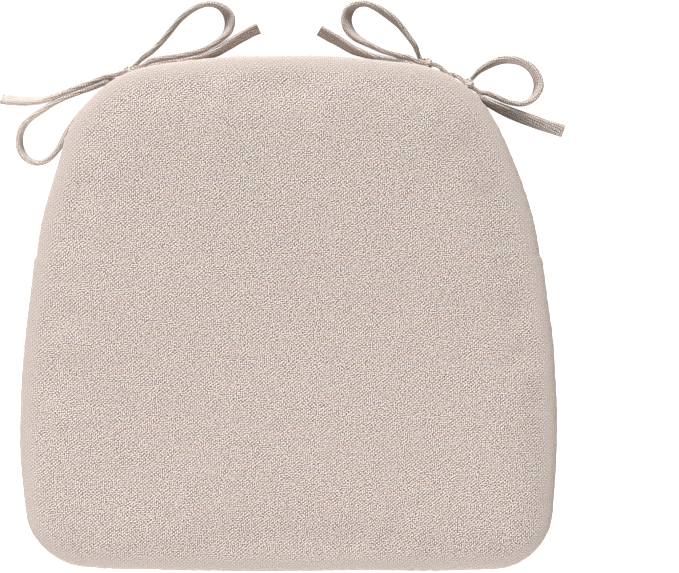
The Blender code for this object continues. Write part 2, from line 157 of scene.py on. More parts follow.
def woven(name, colour, warp, weft, contrast, falling=0.72, threads=1.2, grain=2.6, turn=4.0,
          relief=0.00012, fade=None):
    """Plain woven cloth on the 'weave' coordinates, which are metres along the cloth.

    warp and weft are the yarns' spacings. Their crossings show as two families of stripes, the
    second of them falling times as strong, over the yarns themselves, with the grain of uneven
    fibres on top. The base colour runs from dark yarn gaps to yarn tops lighter than the cloth:
    painted shade in the gaps and painted highlight on the tops, on top of the yarns' own tone. The
    weaker second family is painted light falling from one side. fade names an attribute that calms
    the weave where it is 1.
    """
    g = Graph(name)
    uv = g.weave()
    wander = g.noise(uv, 60.0, 1.0).node.outputs["Color"]
    moved = g.node("ShaderNodeVectorMath", wander, YARN_WANDER, uv, operation="MULTIPLY_ADD")
    turned = g.node("ShaderNodeMapping", moved.outputs[0])
    turned.inputs["Rotation"].default_value = (0.0, 0.0, math.radians(turn))
    axes = g.split(turned.outputs[0])
    u = g.math("MULTIPLY", axes[0], math.pi / warp)
    v = g.math("MULTIPLY", axes[1], math.pi / weft)
    rising_at = g.mapped(g.noise(uv, 150.0, 1.0), 0.3, 0.7, 1.15, 1.75)
    falling_at = g.mapped(g.noise(turned.outputs[0], 130.0, 1.0), 0.3, 0.7,
                          falling * 0.5, falling * 1.5)
    checks = g.math("ADD",
                    g.math("MULTIPLY", g.math("COSINE", g.math("SUBTRACT", v, u)), rising_at),
                    g.math("MULTIPLY", g.math("COSINE", g.math("ADD", u, v)), falling_at))
    yarns = g.math("ADD", g.math("COSINE", g.math("MULTIPLY", u, 2.0)),
                   g.math("COSINE", g.math("MULTIPLY", v, 2.0)))
    cloth = g.math("ADD", checks, g.math("MULTIPLY", yarns, threads))
    fibres_at = g.noise(uv, 1.9 / warp, 0.0, dimensions="2D")
    height = g.math("ADD", cloth, g.mapped(fibres_at, 0.3, 0.7, -grain, grain))
    amount = contrast
    if fade:
        near = g.node("ShaderNodeAttribute", attribute_name=fade).outputs["Fac"]
        amount = g.mapped(near, 0.0, 1.0, contrast, contrast * ROLLED_CONTRAST)
    level = g.math("MULTIPLY_ADD", height, amount, 0.5, clamp=True)
    # painted shade in the yarn gaps and painted highlight on the yarn tops, over the yarns' own tone
    yarn_tone_and_painted_shade = g.mix(level, scaled(colour, 0.15), scaled(colour, 1.85))
    tinted = g.node("ShaderNodeVectorMath", yarn_tone_and_painted_shade, operation="SCALE")
    g.link(g.mapped(g.noise(uv, 9.0, 3.0), 0.3, 0.7, 0.985, 1.015), tinted.inputs["Scale"])
    g.shade(Base_Color=tinted.outputs[0], Roughness=g.mapped(height, -2.0, 2.0, 0.98, 0.84),
            Normal=g.bump(cloth, relief, 0.55), Sheen_Weight=0.22, Sheen_Roughness=0.5,
            Specular_IOR_Level=0.25)
    return g.material


def thread(name, colour):
    """Twisted sewing thread."""
    g = Graph(name)
    axes = g.split(g.weave())
    ply = g.math("SINE", g.math("ADD", g.math("MULTIPLY", axes[0], 9000.0),
                                g.math("MULTIPLY", axes[1], 7000.0)))
    tone = g.mapped(ply, -1.0, 1.0, 0.0, 1.0)
    g.shade(Base_Color=g.mix(tone, scaled(colour, 0.8), scaled(colour, 1.15)),
            Normal=g.bump(ply, 0.00006, 0.6), Roughness=0.7, Sheen_Weight=0.15)
    return g.material


def moulded(name, colour, scale, dark, light, roughness, relief):
    """Slightly mottled plastic or rubber, with its range of roughness."""
    g = Graph(name)
    tone = g.noise(g.place(), scale, 3.0)
    g.shade(Base_Color=g.mix(tone, scaled(colour, dark), scaled(colour, light)),
            Roughness=g.mapped(tone, 0.3, 0.7, *roughness), Normal=g.bump(tone, relief, 0.3))
    return g.material


def die_cast(name, colour):
    """Cast metal, duller where it is rubbed."""
    g = Graph(name)
    place_at = g.place()
    wear = g.noise(place_at, 260.0, 4.0, 0.6)
    g.shade(Base_Color=g.mix(g.mapped(wear, 0.4, 0.7, 0.0, 1.0), colour, scaled(colour, 0.72)),
            Roughness=g.mapped(wear, 0.3, 0.7, 0.24, 0.46),
            Normal=g.bump(g.noise(place_at, 1800.0, 3.0), 0.00004, 0.35), Metallic=1.0)
    return g.material


def open_cell(name, colour):
    """Foam with fine open cells, with painted shade darkening the bottom of each cell."""
    g = Graph(name)
    place_at = g.place()
    cells = g.node("ShaderNodeTexVoronoi", place_at)
    cells.inputs["Scale"].default_value = 700.0
    pore_shade = g.mapped(cells.outputs["Distance"], 0.0, 0.8, 0.0, 1.0)
    tone = g.mapped(g.noise(place_at, 25.0, 3.0), 0.3, 0.7, 0.0, 1.0)
    base = g.mix(tone, scaled(colour, 0.94), colour)
    # painted shade: darker towards the bottom of each cell
    g.shade(Base_Color=g.mix(pore_shade, scaled(colour, 0.72), base),
            Normal=g.bump(pore_shade, 0.0006, 0.7), Roughness=0.95)
    return g.material


def fibre_fill(name, colour):
    """Lofted polyester wadding: tangled fibres."""
    g = Graph(name)
    stretch = g.node("ShaderNodeMapping", g.place())
    stretch.inputs["Scale"].default_value = (1.0, 4.0, 1.0)
    strands = g.noise(stretch.outputs[0], 300.0, 6.0, 0.7)
    g.shade(Base_Color=g.mix(strands, scaled(colour, 0.8), colour),
            Normal=g.bump(strands, 0.0012, 0.8), Roughness=0.95, Sheen_Weight=0.3)
    return g.material


LINEN = (0.455, 0.388, 0.349, 1.0)
cover_cloth = woven("cover_cloth", LINEN, 0.00157, 0.00146, 0.18, fade="roll")
band_cloth = woven("band_cloth", LINEN, 0.00162, 0.00162, 0.17, falling=0.8, turn=0.0, grain=1.8)
tie_cloth = woven("tie_cloth", scaled(LINEN, 1.04), 0.0015, 0.0014, 0.15, turn=35.0, grain=2.2)
under_cloth = woven("under_cloth", scaled(LINEN, 0.8), 0.0008, 0.0008, 0.1, falling=1.0,
                    turn=0.0, relief=0.00006)
tape_cloth = moulded("tape_cloth", scaled(LINEN, 0.95), 400.0, 0.85, 1.12, (0.28, 0.45), 0.00005)
coil_nylon = moulded("coil_nylon", scaled(LINEN, 0.9), 400.0, 0.85, 1.12, (0.28, 0.45), 0.00005)
grip = moulded("grip_dots", scaled(LINEN, 0.6), 120.0, 0.9, 1.08, (0.42, 0.6), 0.00008)
zinc = die_cast("zinc", (0.62, 0.6, 0.57, 1.0))
sewing = thread("sewing_thread", scaled(LINEN, 1.12))
foam = open_cell("foam", (0.86, 0.82, 0.66, 1.0))
fibres = fibre_fill("wadding", (0.9, 0.9, 0.88, 1.0))


# ---- outline ----

def circles_meet(centre_a, reach_a, centre_b, reach_b):
    """The meeting point, on the +X side, of two circles about two centres."""
    between = centre_b - centre_a
    distance = between.length
    along = (reach_a ** 2 - reach_b ** 2 + distance ** 2) / (2 * distance)
    aside = math.sqrt(max(reach_a ** 2 - along ** 2, 0.0))
    unit = between / distance
    normal = Vector((unit.y, -unit.x))
    points = [centre_a + unit * along + normal * side * aside for side in (1, -1)]
    return max(points, key=lambda point: point.x)


def bearing(centre, point):
    return math.atan2(point.y - centre.y, point.x - centre.x)


SIDE_CENTRE = Vector((WIDTH / 2 - SIDE_RADIUS, -DEPTH / 2 + WIDEST_FROM_FRONT))
BACK_CENTRE = Vector((0.0, DEPTH / 2 - BACK_RADIUS))
FRONT_CENTRE = Vector((0.0, -DEPTH / 2 + FRONT_RADIUS))
SHOULDER_CENTRE = circles_meet(BACK_CENTRE, BACK_RADIUS - SHOULDER_RADIUS,
                               SIDE_CENTRE, SIDE_RADIUS - SHOULDER_RADIUS)
CORNER_CENTRE = circles_meet(FRONT_CENTRE, FRONT_RADIUS - CORNER_RADIUS,
                             SIDE_CENTRE, SIDE_RADIUS - CORNER_RADIUS)
SEAM_BEARING = math.asin((SIDE_SEAM_Y - SIDE_CENTRE.y) / SIDE_RADIUS)
STATION_STEP = 0.0022


def arc(centre, radius, start, end):
    steps = max(2, round(abs(end - start) * radius / STATION_STEP))
    return [(centre.x, centre.y, radius, start + (end - start) * step / steps)
            for step in range(steps + 1)]


def right_half():
    """Arc stations from the middle of the front to the middle of the back, and the seam's index."""
    turn = bearing(FRONT_CENTRE, CORNER_CENTRE)
    side = bearing(SIDE_CENTRE, CORNER_CENTRE)
    shoulder = bearing(SIDE_CENTRE, SHOULDER_CENTRE)
    back = bearing(BACK_CENTRE, SHOULDER_CENTRE)
    stations = arc(FRONT_CENTRE, FRONT_RADIUS, -math.pi / 2, turn)
    stations += arc(CORNER_CENTRE, CORNER_RADIUS, turn, side)[1:]
    stations += arc(SIDE_CENTRE, SIDE_RADIUS, side, SEAM_BEARING)[1:]
    seam = len(stations) - 1
    stations += arc(SIDE_CENTRE, SIDE_RADIUS, SEAM_BEARING, shoulder)[1:]
    stations += arc(SHOULDER_CENTRE, SHOULDER_RADIUS, shoulder, back)[1:]
    stations += arc(BACK_CENTRE, BACK_RADIUS, back, math.pi / 2)[1:]
    return stations, seam


HALF, RIGHT_SEAM = right_half()
STATIONS = np.array(HALF[:-1] + [(-cx, cy, radius, math.pi - angle)
                                 for cx, cy, radius, angle in reversed(HALF)][:-1])
COUNT = len(STATIONS)
LEFT_SEAM = COUNT - RIGHT_SEAM
FRONT_RUN = np.arange(LEFT_SEAM, COUNT + RIGHT_SEAM + 1) % COUNT
BACK_RUN = np.arange(RIGHT_SEAM, LEFT_SEAM + 1)


def outline(inset, z, run=None):
    """Points around the outline at an inset and a height, each one number or one per station."""
    stations = STATIONS if run is None else STATIONS[run]
    reach = stations[:, 2] - inset
    points = np.empty((len(stations), 3))
    points[:, 0] = stations[:, 0] + reach * np.cos(stations[:, 3])
    points[:, 1] = stations[:, 1] + reach * np.sin(stations[:, 3])
    points[:, 2] = z
    return points


EDGE = outline(0.0, 0.0)
STEPS = np.linalg.norm(np.roll(EDGE, -1, 0) - EDGE, axis=1)
ALONG = np.concatenate([[0.0], np.cumsum(STEPS)[:-1]])
PERIMETER = STEPS.sum()


def ripple(shortest, longest, seed, count=26):
    """A repeatable wave round the outline, about -1 to 1, of wavelengths between two lengths."""
    draw = np.random.default_rng(seed)
    turns = draw.integers(int(PERIMETER / longest), int(PERIMETER / shortest) + 1, count)
    phase = draw.uniform(0, 2 * math.pi, count)
    waves = np.sin(2 * math.pi * turns[:, None] * ALONG[None, :] / PERIMETER + phase[:, None])
    return waves.sum(0) / math.sqrt(count) * 1.1


PUCKER = ripple(0.0075, 0.017, 3)
PUCKER_LOW = ripple(0.009, 0.022, 4)
WAVER = ripple(0.05, 0.16, 5)


def side_step():
    """How the cover steps out, going forwards, where the back band is sewn to the front one."""
    step = np.zeros(COUNT)
    for seam, forward in ((RIGHT_SEAM, -1), (LEFT_SEAM, 1)):
        ahead = (ALONG - ALONG[seam]) * forward
        ahead = (ahead + PERIMETER / 2) % PERIMETER - PERIMETER / 2
        behind = 0.0011 * np.exp(np.minimum(ahead, 0.0) / 0.01)
        before = 0.0007 * np.exp(-np.maximum(ahead, 0.0) / 0.016)
        blend = ease(np.clip(ahead / 0.0026 + 0.5, 0.0, 1.0))
        step += np.where(np.abs(ahead) < 0.09, behind * (1 - blend) - before * blend, 0.0)
    return step


SIDE_STEP = side_step()

# Where the sewn cover stands out from an even outline (or in from it, below 0):
# place from above, how far, and how wide, all in millimetres
UNEVEN = [(-190, -184, -3.2, 24), (168, -200, 2.6, 32), (105, -206, 1.4, 30),
          (-212, -15, -1.2, 40), (-190, 82, 1.1, 22), (190, 82, 0.8, 20), (165, 150, -3.1, 28),
          (-164, 160, 1.6, 25), (-133, 196, 1.4, 16)]
STRAIGHT_BACK = 0.104


def uneven():
    """How far each station stands out. The back stays even between the straps, for the zip."""
    out = np.zeros(COUNT)
    for x, y, amount, spread in UNEVEN:
        apart = np.hypot(EDGE[:, 0] - x / 1000, EDGE[:, 1] - y / 1000)
        out += amount / 1000 * np.exp(-(apart * 1000 / spread) ** 2 / 2)
    return np.where((EDGE[:, 1] > 0) & (np.abs(EDGE[:, 0]) < STRAIGHT_BACK), 0.0, out)


SHIFT = uneven()
FRONT_SHIFT = np.where(np.isin(np.arange(COUNT), FRONT_RUN), SHIFT, 0.0)


def drawn_in(z, run):
    """The side seams' step and the uneven outline, as an inset of a band at a height.

    In front the unevenness goes all the way down; at the back it fades out lower down.
    """
    rise = np.clip((z - 0.01) / 0.03, 0.0, 1.0)
    return SIDE_STEP[run] * rise - FRONT_SHIFT[run] - (SHIFT - FRONT_SHIFT)[run] * rise


# ---- pieces ----

def mesh_piece(name, points, faces, material, corners=None):
    """A smooth piece, with 'weave' coordinates where its corners have them."""
    mesh = bpy.data.meshes.new(name)
    mesh.from_pydata(points, [], faces)
    if corners is not None:
        layer = mesh.uv_layers.new(name="weave")
        layer.data.foreach_set("uv", np.asarray(corners, np.float32).ravel())
    mesh.shade_smooth()
    mesh.materials.append(material)
    piece = bpy.data.objects.new(name, mesh)
    bpy.context.scene.collection.objects.link(piece)
    return piece


def grid_piece(name, rings, uvs, material, closed=False, cap_first=False, cap_last=False):
    """A piece over rows of points, each running the same way."""
    rings = np.asarray(rings, float)
    uvs = np.asarray(uvs, float)
    rows, columns = rings.shape[:2]
    width = columns if closed else columns - 1
    row, column = np.meshgrid(np.arange(rows - 1), np.arange(width), indexing="ij")
    row, column = row.ravel(), column.ravel()
    after = (column + 1) % columns
    faces = np.stack([row * columns + column, row * columns + after,
                      (row + 1) * columns + after, (row + 1) * columns + column], 1).tolist()
    corners = np.stack([uvs[row, column], uvs[row, column + 1],
                        uvs[row + 1, column + 1], uvs[row + 1, column]], 1).reshape(-1, 2)
    if cap_first:
        faces.append(list(reversed(range(columns))))
        corners = np.concatenate([corners, uvs[0, :columns][::-1]])
    if cap_last:
        faces.append([(rows - 1) * columns + i for i in range(columns)])
        corners = np.concatenate([corners, uvs[-1, :columns]])
    return mesh_piece(name, rings.reshape(-1, 3).tolist(), faces, material, corners)


def wrapped(uvs):
    """Rows of coordinates that close on themselves: each one's first comes again at its end."""
    uvs = np.array(uvs)
    return np.concatenate([uvs, uvs[:, :1]], 1)


def smooth_noise(points, size, seed):
    """Perlin noise, about -1 to 1, at each point, of bumps about size across."""
    shift = Vector((seed * 7.3, seed * 3.1, seed * 1.7))
    values = [noise.noise(Vector(point) / size + shift) for point in points.reshape(-1, 3)]
    return np.array(values).reshape(points.shape[:-1])


# ---- filling the cover: cloth simulation ----

VOXEL = 0.005
PRESSURE = 4.0
LAST_FRAME = 20
SWELL_CAP = 0.0046
HELD_BELOW = 0.0065
HELD_AT_SEAM = 0.0036
INWARD_MOST = 0.0001
FILL_FORM = [(0.013, 0.0015), (0.006, 0.003), (0.003, 0.008), (0.002, 0.02),
             (0.002, 0.04), (0.002, SEAM_Z), (0.003, 0.0545), (0.007, 0.0578),
             (0.015, 0.059)]


def rows_of_three(collection, count, key):
    flat = np.empty(count * 3)
    collection.foreach_get(key, flat)
    return flat.reshape(-1, 3)


def fill_form():
    """A closed, slightly smaller form of the cover, evenly meshed, to hold at foot and seam."""
    rings = [outline(inset - SHIFT, z) for inset, z in FILL_FORM]
    form = grid_piece("fill_form", rings, np.zeros((len(rings), COUNT + 1, 2)), cover_cloth,
                      closed=True, cap_first=True, cap_last=True)
    even = form.modifiers.new("even", "REMESH")
    even.mode = "VOXEL"
    even.voxel_size = VOXEL
    shaped = form.evaluated_get(bpy.context.evaluated_depsgraph_get())
    skin = bpy.data.objects.new("fill_skin", bpy.data.meshes.new_from_object(shaped))
    bpy.context.scene.collection.objects.link(skin)
    bpy.data.objects.remove(form, do_unlink=True)
    z = rows_of_three(skin.data.vertices, len(skin.data.vertices), "co")[:, 2]
    still = np.flatnonzero((z < HELD_BELOW) | (np.abs(z - SEAM_Z) < HELD_AT_SEAM))
    skin.vertex_groups.new(name="held").add(still.tolist(), 1.0, "REPLACE")
    return skin


def fill_cover():
    """Blow up a form of the cover: where its points start, and how they move."""
    scene = bpy.context.scene
    skin = fill_form()
    count = len(skin.data.vertices)
    start = rows_of_three(skin.data.vertices, count, "co")
    cloth = skin.modifiers.new("filled", "CLOTH")
    cloth.collision_settings.use_collision = False
    settings = cloth.settings
    settings.quality = 6
    settings.mass = 0.3
    settings.tension_stiffness = settings.compression_stiffness = 18.0
    settings.shear_stiffness = 6.0
    settings.bending_stiffness = 0.25
    settings.shrink_min = -0.012
    settings.vertex_group_mass = "held"
    settings.use_pressure = True
    settings.uniform_pressure_force = PRESSURE
    settings.effector_weights.gravity = 0.0
    cloth.point_cache.frame_start = 1
    cloth.point_cache.frame_end = LAST_FRAME
    for frame_number in range(1, LAST_FRAME + 1):
        scene.frame_set(frame_number)
    filled = skin.evaluated_get(bpy.context.evaluated_depsgraph_get()).data
    moved = rows_of_three(filled.vertices, count, "co") - start
    scene.frame_set(1)
    normals = rows_of_three(skin.data.vertex_normals, count, "vector")
    moved -= normals * np.minimum((moved * normals).sum(1) + INWARD_MOST, 0.0)[:, None]
    far = np.linalg.norm(moved, axis=1)
    moved *= (np.tanh(far / SWELL_CAP) * SWELL_CAP / np.maximum(far, 1e-9))[:, None]
    bpy.data.objects.remove(skin, do_unlink=True)
    return start, moved


FILLED = fill_cover()


def swell(points):
    """How far the filling moves each point of the cover, from its neighbours on the form."""
    start, moved = FILLED
    neighbours, reach = 28, 0.0085
    tree = kdtree.KDTree(len(start))
    for index, point in enumerate(start):
        tree.insert(point, index)
    tree.balance()
    out = np.zeros((points.size // 3, 3))
    for row, point in enumerate(points.reshape(-1, 3)):
        found = tree.find_n(point, neighbours)
        weight = np.exp(-(np.array([f[2] for f in found]) / reach) ** 2) + 1e-12
        out[row] = (moved[[f[1] for f in found]] * weight[:, None]).sum(0) / weight.sum()
    return out.reshape(points.shape)


# ---- cover ----

CROWN = 0.003
CROWN_REACH = 0.15
ROLL_WIDTH = 0.018
ROLL_LIFT = 0.002
ROLL_PROUD = 0.0004
EXACT_INSET = 0.04
FACE_RINGS = 30
FACE_REACH = 0.165


def dome(inset):
    """0 at the outline, rising to 1 well inside it."""
    return 1 - (1 - min(max(inset, 0) / CROWN_REACH, 1.0)) ** 2


def crown_at(inset):
    """The sitting face's rise at an inset, where the filling isn't simulated."""
    return CROWN * dome(inset) if FILLED is None else 0.0


def profile_lengths(profile):
    lengths = [0.0]
    for before, after in zip(profile, profile[1:]):
        lengths.append(lengths[-1] + math.dist(before, after))
    return lengths


def top_profile():
    """Insets and heights of the top cloth: allowance, groove, rolled edge, start of the face."""
    low = SEAM_Z + ROLL_LIFT
    profile = [(0.0029, SEAM_Z - 0.006), (0.0029, SEAM_Z - 0.001)]
    for step in range(5):
        turn = math.radians(-78 + 78 * step / 5)
        profile.append((-ROLL_PROUD + 0.0018 * (1 - math.cos(turn)),
                        low + ROLL_LIFT * math.sin(turn)))
    for step in range(15):
        turn = math.radians(90 * step / 14)
        profile.append((-ROLL_PROUD + (ROLL_WIDTH + ROLL_PROUD) * (1 - math.cos(turn) ** 0.95),
                        low + (THICKNESS - low) * math.sin(turn) ** 0.95))
    inset = ROLL_WIDTH
    while inset < EXACT_INSET - 0.001:
        inset += 0.0028
        profile.append((min(inset, EXACT_INSET), THICKNESS))
    return profile


def make_cover_top():
    """Crowned top cloth. Its 'roll' attribute is 1 on the rolled edge and 0 on the face."""
    profile = top_profile()
    lengths = profile_lengths(profile)
    rings, uvs, rolls = [], [], []
    for (inset, z), length in zip(profile, lengths):
        inner = max(inset, 0.0)
        edge = max(0.0, 1 - inner / 0.02)
        near_seam = PUCKER * math.exp(-max(z - SEAM_Z, 0.0) / 0.0055)
        here = inset + SIDE_STEP * edge ** 0.5 - SHIFT * max(0.0, 1 - inner / EXACT_INSET)
        waver = WAVER * edge
        here = here + 0.00016 * near_seam + 0.0001 * PUCKER_LOW * edge ** 2 + 0.00025 * waver
        height = z + crown_at(inset) + 0.00022 * waver + 0.00018 * near_seam
        rings.append(outline(here, height))
        uvs.append(outline(EXACT_INSET - lengths[-1] + length, 0.0)[:, :2])
        rolls.append(np.full(COUNT, min(1.0, max(0.0, 1 - (inset - 0.006) / 0.012))))
    rim, rim_uvs = rings[-1], uvs[-1]
    for step in range(1, FACE_RINGS):
        factor = 1 - step / FACE_RINGS
        ring = rim * factor
        ring[:, 2] = THICKNESS + crown_at(EXACT_INSET + (1 - factor) * FACE_REACH)
        rings.append(ring)
        uvs.append(rim_uvs * factor)
        rolls.append(np.zeros(COUNT))
    rings = np.array(rings)
    calm = np.clip((rings[..., 2] - SEAM_Z) / (THICKNESS - SEAM_Z), 0.0, 1.0)
    rings[..., 2] += 0.0003 * calm * smooth_noise(rings, 0.055, 1)
    if FILLED is not None:
        free = ease(np.clip((rings[..., 2] - SEAM_Z - 0.0015) / 0.006, 0.0, 1.0))
        rings += swell(rings) * free[..., None]
    piece = grid_piece("cover_top", rings, wrapped(uvs), cover_cloth, closed=True, cap_last=True)
    attribute = piece.data.attributes.new("roll", "FLOAT", "POINT")
    attribute.data.foreach_set("value", np.array(rolls, np.float32).ravel())
    return piece


def along_run(run):
    """Distances along a part of the outline."""
    return np.concatenate([[0.0], np.cumsum(np.linalg.norm(np.diff(EDGE[run], axis=0), axis=1))])


def band_uvs(run, lengths):
    along = along_run(run)
    return np.array([np.stack([along, np.full(len(run), length)], 1) for length in lengths])


def foot_profile():
    """Lower part of a band: allowance under the filling, then the rolled lower edge."""
    profile = [(BOTTOM_ROLL + 0.0012, 0.0022), (BOTTOM_ROLL + 0.0006, 0.0004),
               (BOTTOM_ROLL, 0.0001)]
    for step in range(1, 10):
        turn = math.radians(-90 + 90 * step / 9)
        profile.append((BOTTOM_ROLL - BOTTOM_ROLL * math.cos(turn),
                        BOTTOM_ROLL + (BOTTOM_ROLL - 0.0001) * math.sin(turn)))
    return profile


def head_profile():
    """Upper end of a band: pulled into the groove of the top seam, then its allowance."""
    profile = []
    for step in range(6):
        turn = math.radians(84 * step / 5)
        profile.append((0.0015 * (1 - math.cos(turn)), SEAM_Z - 0.0032 + 0.0028 * math.sin(turn)))
    return profile + [(0.003, SEAM_Z - 0.0012), (0.003, SEAM_Z - 0.007)]


def fullness(run):
    """How far a band may bulge: less beside the side seams, and all the way clear of them."""
    along = along_run(run)
    pulled = np.exp(-np.minimum(along, along[-1] - along) / 0.014)
    return 1 - 0.65 * pulled, pulled


def band_rings(run, profile, bulge):
    """A band's rows, bulged, pulled in at the side seams and puckered along its two seams."""
    rings = []
    full, pulled = fullness(run)
    for inset, z in profile:
        near_seam = PUCKER[run] * math.exp(-abs(z - SEAM_Z) / 0.0075)
        near_foot = PUCKER_LOW[run] * math.exp(-max(z - 0.003, 0.0) / 0.008)
        out = (bulge(z) * full - 0.0009 * pulled) * min(1.0, z / 0.008)
        wave = 0.00026 * near_seam + 0.00022 * near_foot + 0.0003 * WAVER[run]
        if z < 0.004:
            wave = wave * 0.3
        rings.append(outline(inset - out + wave + drawn_in(z, run), z + 0.00018 * near_seam, run))
    return rings


def bump_between(low, high, amount):
    def bulge(z):
        part = (z - low) / (high - low)
        return amount * math.sin(math.pi * part) ** 0.8 if 0 < part < 1 else 0.0
    return bulge


def make_front_band():
    head = head_profile()
    face = [(0.0, float(z)) for z in np.linspace(BOTTOM_ROLL, head[0][1], 16)[1:-1]]
    profile = foot_profile() + face + head
    rings = band_rings(FRONT_RUN, profile, bump_between(0.004, SEAM_Z + 0.001, 0.0017))
    return grid_piece("cover_front_band", rings, band_uvs(FRONT_RUN, profile_lengths(profile)),
                      band_cloth)


ZIP_GAP = 0.0027
ZIP_FOLD = 0.0006
STRIP_ROWS = 11


def zip_opening(run):
    """Half the height between the two back strips: open along the zip, closed past its ends."""
    part = ease(np.clip((np.abs(EDGE[run][:, 0]) - TAPE_END + 0.0005) / 0.003, 0.0, 1.0))
    return ZIP_GAP * (1 - part) + 0.00012 * part


def make_back_bands():
    """The strips below and above the zip, each from its outer seam to its fold at the zip."""
    run = BACK_RUN
    opening = zip_opening(run)
    full = fullness(run)[0]
    made = []
    for name, side, outer, bulge in (
            ("cover_back_band_lower", -1, foot_profile(), bump_between(0.01, 0.0262, 0.0009)),
            ("cover_back_band_upper", 1, head_profile()[::-1],
             bump_between(0.0338, SEAM_Z + 0.001, 0.001))):
        rings = band_rings(run, outer, bulge)
        lengths = profile_lengths(outer)
        start = outer[-1][1]
        fold = ZIP_Z + side * (opening + ZIP_FOLD)
        for step in range(1, STRIP_ROWS + 1):
            z = start + (fold - start) * (step / STRIP_ROWS)
            near_seam = np.exp(-np.abs(z - SEAM_Z) / 0.0075)
            near_zip = np.exp(-np.abs(z - fold) / 0.004)
            wave = (0.00026 * PUCKER[run] * near_seam + 0.0003 * WAVER[run] * (1 - near_zip)
                    + 0.00012 * PUCKER_LOW[run] * near_zip)
            out = np.array([bulge(float(value)) for value in z]) * full
            sewn = (1 - opening / ZIP_GAP) * 0.0003 * near_zip
            rings.append(outline(0.0001 - out + wave + drawn_in(z, run) + sewn, z, run))
            lengths.append(lengths[-1] + abs(fold.mean() - start) / STRIP_ROWS)
        for inset, back in ((0.0004, -0.0004), (0.001, -0.0006), (0.0013, 0.0002),
                            (0.0014, 0.005)):
            z = ZIP_Z + side * (opening + ZIP_FOLD + back)
            rings.append(outline(inset + (SIDE_STEP - SHIFT)[run] * 0.67, z, run))
            lengths.append(lengths[-1] + 0.0008)
        made.append(grid_piece(name, rings[::-side], band_uvs(run, lengths), band_cloth))
    return made


UNDER_Z = 0.0006
UNDER_RINGS = 16


def make_underside():
    """Bottom cloth, from the foot of the bands to the middle."""
    levels = [(BOTTOM_ROLL + 0.0004, 0.0024, 1.0), (BOTTOM_ROLL + 0.0008, 0.0008, 1.0),
              (BOTTOM_ROLL + 0.002, UNDER_Z, 1.0)]
    while levels[-1][0] < EXACT_INSET - 0.001:
        inset = min(levels[-1][0] + 0.007, EXACT_INSET)
        levels.append((inset, UNDER_Z, 1 - inset / EXACT_INSET))
    rings, uvs = [], []
    for inset, z, near in levels:
        rings.append(outline(inset - FRONT_SHIFT * near, z)[::-1])
        uvs.append(outline(inset, z)[::-1, :2])
    rim = rings[-1]
    for step in range(1, UNDER_RINGS):
        ring = rim * (1 - step / UNDER_RINGS)
        ring[:, 2] = UNDER_Z
        rings.append(ring)
        uvs.append(ring[:, :2])
    return grid_piece("underside", rings, wrapped(uvs), under_cloth, closed=True, cap_last=True)


def make_wadding(name, levels, crowned):
    """A soft sheet of fibres under the cover, drawn in wherever the cover is."""
    inwards = np.minimum(SHIFT if crowned else FRONT_SHIFT, 0.0)
    rings = []
    for inset, z in levels:
        rise = CROWN * 0.8 * dome(inset) if crowned else 0.0
        rings.append(outline(inset - inwards * max(0.0, 1 - inset / EXACT_INSET), z + rise))
    return grid_piece(name, rings, wrapped([ring[:, :2] for ring in rings]), fibres,
                      closed=True, cap_first=True, cap_last=True)


def inside_outline(x, y, inset):
    """Whether a point lies within the outline less an inset."""
    x = abs(x)

    def within(centre, radius):
        return math.hypot(x - centre.x, y - centre.y) <= radius - inset

    if not (within(SIDE_CENTRE, SIDE_RADIUS) and within(BACK_CENTRE, BACK_RADIUS)
            and within(FRONT_CENTRE, FRONT_RADIUS)):
        return False
    if x > CORNER_CENTRE.x and y < CORNER_CENTRE.y:
        return within(CORNER_CENTRE, CORNER_RADIUS)
    if x > SHOULDER_CENTRE.x and y > SHOULDER_CENTRE.y:
        return within(SHOULDER_CENTRE, SHOULDER_RADIUS)
    return True


DOT_PITCH = 0.0125
DOT_ROW = DOT_PITCH * 0.866
DOT_SIDES = 10
DOT_LEVELS = ((0.0019, 0.00075), (0.0018, 0.00035), (0.0012, 0.00008))
DOT_TIP = 0.00002


def make_grip_dots():
    """Moulded dots in staggered rows on the bottom cloth."""
    rows = int(DEPTH / DOT_ROW)
    turn = np.arange(DOT_SIDES) * 2 * math.pi / DOT_SIDES
    points, faces = [], []
    for row in range(-rows // 2, rows // 2 + 2):
        for column in range(-20, 21):
            x = (column + row % 2 / 2) * DOT_PITCH
            y = row * DOT_ROW
            if not inside_outline(x, y, 0.02):
                continue
            base = len(points)
            for radius, z in DOT_LEVELS:
                points += [(x + radius * math.cos(a), y + radius * math.sin(a), z) for a in turn]
            points.append((x, y, DOT_TIP))
            for i in range(DOT_SIDES):
                j = (i + 1) % DOT_SIDES
                for low in (base, base + DOT_SIDES):
                    faces.append((low + j, low + i, low + DOT_SIDES + i, low + DOT_SIDES + j))
                faces.append((base + 2 * DOT_SIDES + j, base + 2 * DOT_SIDES + i,
                              base + 3 * DOT_SIDES))
    return mesh_piece("grip_dots", points, faces, grip)


# ---- tubes: coil, stitches ----

def tube_rows(path, radius, sides, up):
    """Rows of points round a path, for a wire or a thread."""
    path = np.asarray(path, float)
    ahead = np.gradient(path, axis=0)
    ahead /= np.linalg.norm(ahead, axis=1)[:, None]
    side = np.cross(np.tile(np.array(up, float), (len(path), 1)), ahead)
    side /= np.maximum(np.linalg.norm(side, axis=1), 1e-9)[:, None]
    over = np.cross(ahead, side)
    turn = (np.arange(sides) * 2 * math.pi / sides)[None, :, None]
    radius = np.broadcast_to(np.asarray(radius, float), (len(path),))
    return path[:, None, :] + radius[:, None, None] * (
        side[:, None, :] * np.cos(turn) + over[:, None, :] * np.sin(turn))


def back_point(distance, out, z):
    """A point beside the back edge, a distance right of its middle and standing out from it."""
    angle = math.pi / 2 - distance / BACK_RADIUS
    reach = BACK_RADIUS + out
    return (reach * math.cos(angle), BACK_CENTRE.y + reach * math.sin(angle), z)


COIL_PITCH = 0.00145
COIL_PER_TURN = 10
COIL_WIRE = 0.00024


